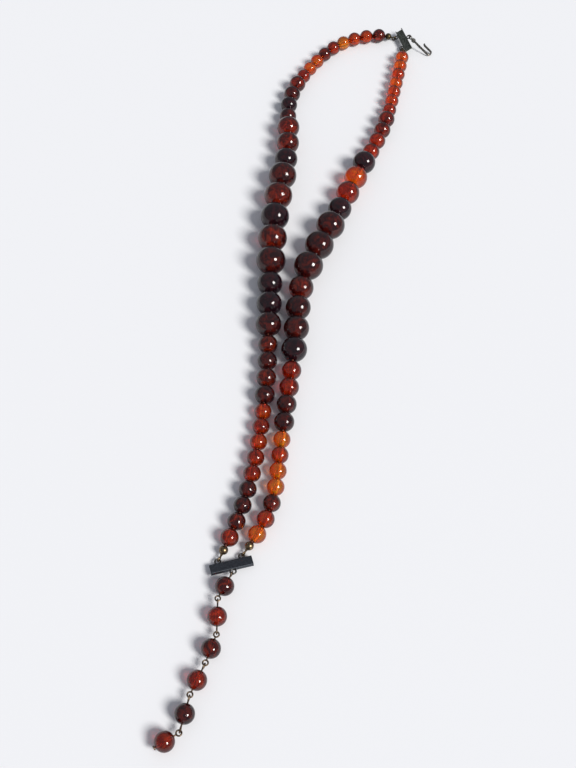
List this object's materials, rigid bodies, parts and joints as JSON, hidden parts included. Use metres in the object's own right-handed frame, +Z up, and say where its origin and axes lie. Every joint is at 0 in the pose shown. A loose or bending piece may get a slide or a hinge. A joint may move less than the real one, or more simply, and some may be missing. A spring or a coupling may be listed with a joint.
{
  "type": "two-strand graduated prayer beads",
  "caption": "Two graduated strands of round translucent beads between ringed end bars, with a wire hook clasp and a beaded eye-pin chain at the tail.",
  "frame": {"origin": "bottom centre of the whole laid-out object, on the table that the beads rest on", "axes": "+Z up from the table, +Y along the strands towards the clasp, +X to the right seen from above"},
  "size_m": [0.1282, 0.385, 0.0134],
  "materials": {
    "thread": "waxed multi-strand thread",
    "knots": "waxed thread, knotted",
    "bars": "gunmetal plated, brushed",
    "rings": "darkened steel wire",
    "tips": "tarnished brass",
    "hook": "worn steel wire",
    "pins": "bronze-toned wire",
    "small_beads": "polished translucent resin, amber to cherry",
    "medium_beads": "polished translucent resin, cherry",
    "large_beads": "polished translucent resin, dark cherry",
    "tail_beads": "polished translucent resin, dark cherry"
  },
  "bodies": {
    "tail_bar": {"tail_bar": "bars", "tail_bar_rings": "rings"},
    "left_run_1": {"left_small_beads_1": "small_beads", "left_thread_1": "thread", "left_near_tip": "tips", "left_near_knot": "knots"},
    "left_run_2": {"left_small_beads_2": "small_beads", "left_medium_beads_2": "medium_beads", "left_thread_2": "thread"},
    "left_run_3": {"left_medium_beads_3": "medium_beads", "left_large_beads_3": "large_beads", "left_thread_3": "thread"},
    "left_run_4": {"left_extra_large_beads_4": "large_beads", "left_thread_4": "thread"},
    "left_run_5": {"left_large_beads_5": "large_beads", "left_medium_beads_5": "medium_beads", "left_thread_5": "thread"},
    "left_run_6": {"left_medium_beads_6": "medium_beads", "left_small_beads_6": "small_beads", "left_thread_6": "thread"},
    "left_run_7": {"left_small_beads_7": "small_beads", "left_thread_7": "thread", "left_far_tip": "tips", "left_far_knot": "knots"},
    "right_run_1": {"right_small_beads_1": "small_beads", "right_thread_1": "thread", "right_near_tip": "tips", "right_near_knot": "knots"},
    "right_run_2": {"right_medium_beads_2": "medium_beads", "right_thread_2": "thread"},
    "right_run_3": {"right_large_beads_3": "large_beads", "right_thread_3": "thread"},
    "right_run_4": {"right_extra_large_beads_4": "large_beads", "right_thread_4": "thread"},
    "right_run_5": {"right_large_beads_5": "large_beads", "right_thread_5": "thread"},
    "right_run_6": {"right_medium_beads_6": "medium_beads", "right_thread_6": "thread"},
    "right_run_7": {"right_small_beads_7": "small_beads", "right_thread_7": "thread"},
    "clasp_bar": {"clasp_bar": "bars", "clasp_bar_rings": "rings"},
    "clasp_hook": {"clasp_hook": "hook"},
    "right_far_tip": {"right_far_tip": "tips", "right_far_knot": "knots"},
    "tail_pin_1": {"tail_pin_1": "pins"},
    "tail_bead_1": {"tail_bead_1": "tail_beads"},
    "tail_pin_2": {"tail_pin_2": "pins"},
    "tail_bead_2": {"tail_bead_2": "tail_beads"},
    "tail_pin_3": {"tail_pin_3": "pins"},
    "tail_bead_3": {"tail_bead_3": "tail_beads"},
    "tail_pin_4": {"tail_pin_4": "pins"},
    "tail_bead_4": {"tail_bead_4": "tail_beads"},
    "tail_pin_5": {"tail_pin_5": "pins"},
    "tail_bead_5": {"tail_bead_5": "tail_beads"},
    "tail_pin_6": {"tail_pin_6": "pins"},
    "tail_bead_6": {"tail_bead_6": "tail_beads"}
  },
  "joints": [
    {"name": "left_strand_swing", "type": "hinge", "parent": "tail_bar", "child": "left_run_1", "pos_m": [-0.0441, -0.12296, 0.0015], "axis": [0, 0, 1], "range_deg": [0, 20]},
    {"name": "left_strand_flex_1", "type": "hinge", "parent": "left_run_1", "child": "left_run_2", "pos_m": [-0.02984, -0.0759, 0.00355], "axis": [0, 0, 1], "range_deg": [0, 14]},
    {"name": "left_strand_flex_2", "type": "hinge", "parent": "left_run_2", "child": "left_run_3", "pos_m": [-0.02603, -0.0372, 0.0042], "axis": [0, 0, 1], "range_deg": [0, 14]},
    {"name": "left_strand_flex_3", "type": "hinge", "parent": "left_run_3", "child": "left_run_4", "pos_m": [-0.02468, 0.01398, 0.00615], "axis": [0, 0, 1], "range_deg": [0, 14]},
    {"name": "left_strand_flex_4", "type": "hinge", "parent": "left_run_4", "child": "left_run_5", "pos_m": [-0.01763, 0.08133, 0.00615], "axis": [0, 0, 1], "range_deg": [0, 14]},
    {"name": "left_strand_flex_5", "type": "hinge", "parent": "left_run_5", "child": "left_run_6", "pos_m": [-0.01451, 0.13236, 0.0042], "axis": [0, 0, 1], "range_deg": [0, 14]},
    {"name": "left_strand_flex_6", "type": "hinge", "parent": "left_run_6", "child": "left_run_7", "pos_m": [0.00253, 0.16704, 0.00355], "axis": [0, 0, 1], "range_deg": [0, 14]},
    {"name": "right_strand_swing", "type": "hinge", "parent": "tail_bar", "child": "right_run_1", "pos_m": [-0.03514, -0.12069, 0.00153], "axis": [0, 0, -1], "range_deg": [0, 20]},
    {"name": "right_strand_flex_1", "type": "hinge", "parent": "right_run_1", "child": "right_run_2", "pos_m": [-0.01947, -0.0674, 0.00387], "axis": [0, 0, -1], "range_deg": [0, 14]},
    {"name": "right_strand_flex_2", "type": "hinge", "parent": "right_run_2", "child": "right_run_3", "pos_m": [-0.01508, -0.03339, 0.0049], "axis": [0, 0, -1], "range_deg": [0, 14]},
    {"name": "right_strand_flex_3", "type": "hinge", "parent": "right_run_3", "child": "right_run_4", "pos_m": [-0.00978, 0.01175, 0.00615], "axis": [0, 0, -1], "range_deg": [0, 14]},
    {"name": "right_strand_flex_4", "type": "hinge", "parent": "right_run_4", "child": "right_run_5", "pos_m": [0.00613, 0.04929, 0.00615], "axis": [0, 0, -1], "range_deg": [0, 14]},
    {"name": "right_strand_flex_5", "type": "hinge", "parent": "right_run_5", "child": "right_run_6", "pos_m": [0.02382, 0.09121, 0.0049], "axis": [0, 0, -1], "range_deg": [0, 14]},
    {"name": "right_strand_flex_6", "type": "hinge", "parent": "right_run_6", "child": "right_run_7", "pos_m": [0.03616, 0.12316, 0.00387], "axis": [0, 0, -1], "range_deg": [0, 14]},
    {"name": "clasp_bar_swing", "type": "hinge", "parent": "left_run_7", "child": "clasp_bar", "pos_m": [0.04488, 0.18785, 0.0015], "axis": [0, 0, 1], "range_deg": [0, 25]},
    {"name": "right_far_tip_swing", "type": "hinge", "parent": "clasp_bar", "child": "right_far_tip", "pos_m": [0.04751, 0.17861, 0.00189], "axis": [0, 0, 1], "range_deg": [-20, 8]},
    {"name": "clasp_hook_swing", "type": "hinge", "parent": "clasp_bar", "child": "clasp_hook", "pos_m": [0.05156, 0.18451, 0.00537], "axis": [0, 0, 1], "range_deg": [-20, 60]},
    {"name": "tail_pin_swing_1", "type": "hinge", "parent": "tail_bar", "child": "tail_pin_1", "pos_m": [-0.03853, -0.12796, 0.00319], "axis": [0, 0, 1], "range_deg": [-20, 45]},
    {"name": "tail_pin_swing_2", "type": "hinge", "parent": "tail_pin_1", "child": "tail_pin_2", "pos_m": [-0.04371, -0.13883, 0.00401], "axis": [0, 0, -1], "range_deg": [-45, 45]},
    {"name": "tail_pin_swing_3", "type": "hinge", "parent": "tail_pin_2", "child": "tail_pin_3", "pos_m": [-0.04371, -0.15162, 0.00334], "axis": [0, 0, 1], "range_deg": [-45, 45]},
    {"name": "tail_pin_swing_4", "type": "hinge", "parent": "tail_pin_3", "child": "tail_pin_4", "pos_m": [-0.04744, -0.16239, 0.00371], "axis": [0, 0, -1], "range_deg": [-45, 45]},
    {"name": "tail_pin_swing_5", "type": "hinge", "parent": "tail_pin_4", "child": "tail_pin_5", "pos_m": [-0.05232, -0.17346, 0.0036], "axis": [0, 0, 1], "range_deg": [-45, 45]},
    {"name": "tail_pin_swing_6", "type": "hinge", "parent": "tail_pin_5", "child": "tail_pin_6", "pos_m": [-0.0552, -0.18593, 0.0036], "axis": [0, 0, -1], "range_deg": [-45, 45]},
    {"name": "tail_bead_spin_1", "type": "hinge", "parent": "tail_pin_1", "child": "tail_bead_1", "pos_m": [-0.04133, -0.1337, 0.0036], "axis": [-0.4372, -0.8963, 0.0745], "continuous": true},
    {"name": "tail_bead_spin_2", "type": "hinge", "parent": "tail_pin_2", "child": "tail_bead_2", "pos_m": [-0.04371, -0.14523, 0.0036], "axis": [0, -0.9989, -0.047], "continuous": true},
    {"name": "tail_bead_spin_3", "type": "hinge", "parent": "tail_pin_3", "child": "tail_bead_3", "pos_m": [-0.04557, -0.15701, 0.0036], "axis": [-0.3255, -0.9453, 0.0195], "continuous": true},
    {"name": "tail_bead_spin_4", "type": "hinge", "parent": "tail_pin_4", "child": "tail_bead_4", "pos_m": [-0.05004, -0.16824, 0.0036], "axis": [-0.4067, -0.9135, 0], "continuous": true},
    {"name": "tail_bead_spin_5", "type": "hinge", "parent": "tail_pin_5", "child": "tail_bead_5", "pos_m": [-0.05376, -0.17969, 0.0036], "axis": [-0.225, -0.9744, 0], "continuous": true},
    {"name": "tail_bead_spin_6", "type": "hinge", "parent": "tail_pin_6", "child": "tail_bead_6", "pos_m": [-0.06008, -0.18887, 0.0036], "axis": [-0.8572, -0.515, 0], "continuous": true}
  ]
}
